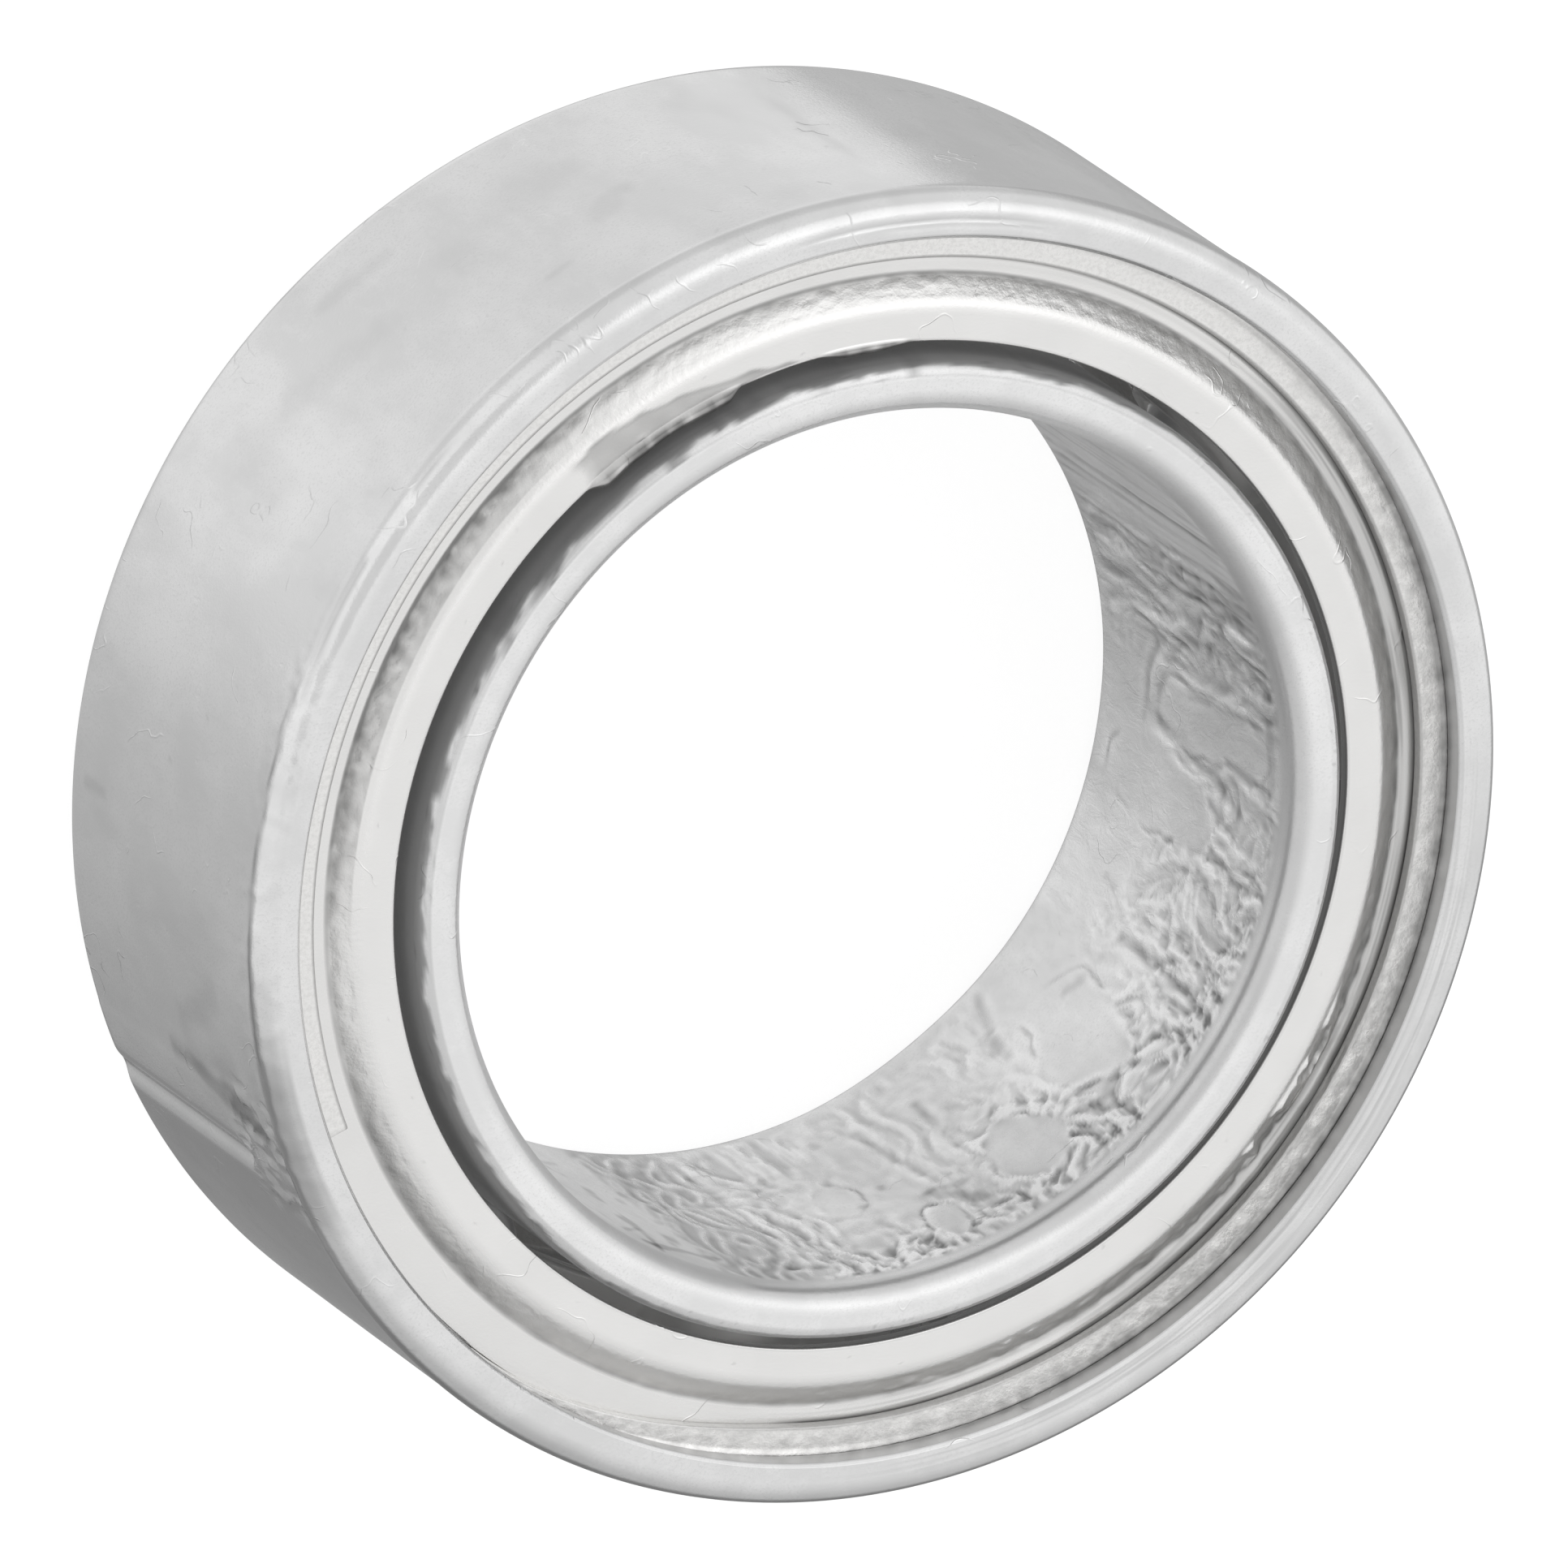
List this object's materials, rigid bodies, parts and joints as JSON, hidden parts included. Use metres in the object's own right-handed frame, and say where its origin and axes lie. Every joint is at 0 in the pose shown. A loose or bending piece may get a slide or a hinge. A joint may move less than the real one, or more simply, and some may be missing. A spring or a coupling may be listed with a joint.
{
  "type": "ball bearing",
  "caption": "Miniature deep-groove ball bearing with a plain bore, pressed metal shields on both sides and a C-shaped snap ring holding each shield in the outer ring.",
  "frame": {"origin": "centre of the bore, halfway between the two ring faces", "axes": "+Z is the bearing's axis and up, the front face looks up and the bearing lies on its back face; +X is where ball_01 is stored"},
  "size_m": [0.0096, 0.0096, 0.0032],
  "materials": {
    "ring_steel": "ground and polished bearing steel",
    "shield_steel": "satin pressed stainless sheet",
    "snap_ring_steel": "pitted, coined flat wire",
    "cage_steel": "tumbled pressed sheet",
    "ball_steel": "lapped mirror"
  },
  "bodies": {
    "outer": {"outer_ring": "ring_steel", "shield_front": "shield_steel", "shield_back": "shield_steel", "snap_ring_front": "snap_ring_steel", "snap_ring_back": "snap_ring_steel"},
    "inner": {"inner_ring": "ring_steel"},
    "cage": {"cage_front": "cage_steel", "cage_back": "cage_steel"},
    "ball_01": {"ball_01": "ball_steel"},
    "ball_02": {"ball_02": "ball_steel"},
    "ball_03": {"ball_03": "ball_steel"},
    "ball_04": {"ball_04": "ball_steel"},
    "ball_05": {"ball_05": "ball_steel"},
    "ball_06": {"ball_06": "ball_steel"},
    "ball_07": {"ball_07": "ball_steel"},
    "ball_08": {"ball_08": "ball_steel"},
    "ball_09": {"ball_09": "ball_steel"},
    "ball_10": {"ball_10": "ball_steel"},
    "ball_11": {"ball_11": "ball_steel"}
  },
  "joints": [
    {"name": "inner_spin", "type": "hinge", "parent": "outer", "child": "inner", "pos_m": [0, 0, 0], "axis": [0, 0, 1], "continuous": true},
    {"name": "cage_orbit", "type": "hinge", "parent": "outer", "child": "cage", "pos_m": [0, 0, 0], "axis": [0, 0, 1], "continuous": true},
    {"name": "ball_01_spin", "type": "hinge", "parent": "cage", "child": "ball_01", "pos_m": [0.00397, 0, 0], "axis": [0, 0, 1], "continuous": true},
    {"name": "ball_02_spin", "type": "hinge", "parent": "cage", "child": "ball_02", "pos_m": [0.00334, 0.00215, 0], "axis": [0, 0, 1], "continuous": true},
    {"name": "ball_03_spin", "type": "hinge", "parent": "cage", "child": "ball_03", "pos_m": [0.00165, 0.00361, 0], "axis": [0, 0, 1], "continuous": true},
    {"name": "ball_04_spin", "type": "hinge", "parent": "cage", "child": "ball_04", "pos_m": [-0.00056, 0.00393, 0], "axis": [0, 0, 1], "continuous": true},
    {"name": "ball_05_spin", "type": "hinge", "parent": "cage", "child": "ball_05", "pos_m": [-0.0026, 0.003, 0], "axis": [0, 0, 1], "continuous": true},
    {"name": "ball_06_spin", "type": "hinge", "parent": "cage", "child": "ball_06", "pos_m": [-0.00381, 0.00112, 0], "axis": [0, 0, 1], "continuous": true},
    {"name": "ball_07_spin", "type": "hinge", "parent": "cage", "child": "ball_07", "pos_m": [-0.00381, -0.00112, 0], "axis": [0, 0, 1], "continuous": true},
    {"name": "ball_08_spin", "type": "hinge", "parent": "cage", "child": "ball_08", "pos_m": [-0.0026, -0.003, 0], "axis": [0, 0, 1], "continuous": true},
    {"name": "ball_09_spin", "type": "hinge", "parent": "cage", "child": "ball_09", "pos_m": [-0.00056, -0.00393, 0], "axis": [0, 0, 1], "continuous": true},
    {"name": "ball_10_spin", "type": "hinge", "parent": "cage", "child": "ball_10", "pos_m": [0.00165, -0.00361, 0], "axis": [0, 0, 1], "continuous": true},
    {"name": "ball_11_spin", "type": "hinge", "parent": "cage", "child": "ball_11", "pos_m": [0.00334, -0.00215, 0], "axis": [0, 0, 1], "continuous": true}
  ],
  "couplings": [
    {"joint": "cage_orbit", "follows": "inner_spin", "ratio": 0.43701},
    {"joint": "ball_01_spin", "follows": "inner_spin", "ratio": -3.9058},
    {"joint": "ball_02_spin", "follows": "inner_spin", "ratio": -3.9058},
    {"joint": "ball_03_spin", "follows": "inner_spin", "ratio": -3.9058},
    {"joint": "ball_04_spin", "follows": "inner_spin", "ratio": -3.9058},
    {"joint": "ball_05_spin", "follows": "inner_spin", "ratio": -3.9058},
    {"joint": "ball_06_spin", "follows": "inner_spin", "ratio": -3.9058},
    {"joint": "ball_07_spin", "follows": "inner_spin", "ratio": -3.9058},
    {"joint": "ball_08_spin", "follows": "inner_spin", "ratio": -3.9058},
    {"joint": "ball_09_spin", "follows": "inner_spin", "ratio": -3.9058},
    {"joint": "ball_10_spin", "follows": "inner_spin", "ratio": -3.9058},
    {"joint": "ball_11_spin", "follows": "inner_spin", "ratio": -3.9058}
  ]
}
